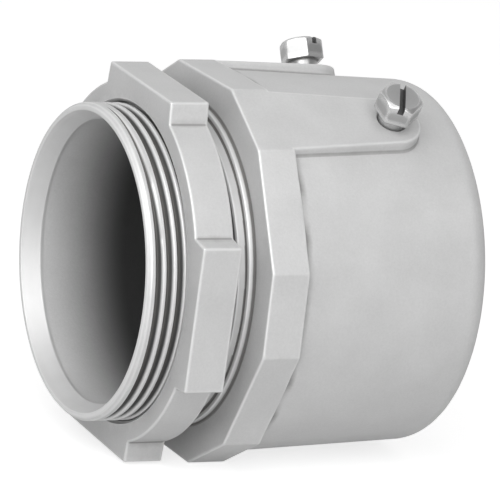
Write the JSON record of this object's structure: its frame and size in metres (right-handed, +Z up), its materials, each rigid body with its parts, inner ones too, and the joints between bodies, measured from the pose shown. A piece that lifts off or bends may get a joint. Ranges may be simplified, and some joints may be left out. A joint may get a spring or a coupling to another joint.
{
  "type": "set screw conduit connector",
  "caption": "Set screw conduit connector: threaded nipple with a lugged locknut, faceted wrench flange and a smooth tube socket gripped by slotted hex set screws.",
  "frame": {"origin": "on the surface it rests on, under the middle of its box", "axes": "+X along the connector's axis from the threaded mouth to the tube socket, +Z up, the set screw pads thirty degrees either side of the top, -Y towards the front pad"},
  "size_m": [0.1006, 0.11, 0.1116],
  "materials": {
    "casting": "zinc plated casting, light grey satin with fine grain",
    "locknut_metal": "zinc plated casting, mid grey satin",
    "screw_steel": "zinc plated steel, brighter than the casting"
  },
  "bodies": {
    "connector": {"connector_body": "casting"},
    "locknut": {"locknut": "locknut_metal"},
    "set_screw_front": {"set_screw_front": "screw_steel"},
    "set_screw_back": {"set_screw_back": "screw_steel"}
  },
  "joints": [
    {"name": "locknut_travel", "type": "slide", "parent": "connector", "child": "locknut", "axis": [1, 0, 0], "range_m": [-0.00953, 0.00635]},
    {"name": "set_screw_front_travel", "type": "slide", "parent": "connector", "child": "set_screw_front", "axis": [0, -0.5, 0.866], "range_m": [-0.00282, 0.00564]},
    {"name": "set_screw_back_travel", "type": "slide", "parent": "connector", "child": "set_screw_back", "axis": [0, 0.5, 0.866], "range_m": [-0.00282, 0.00564]}
  ]
}
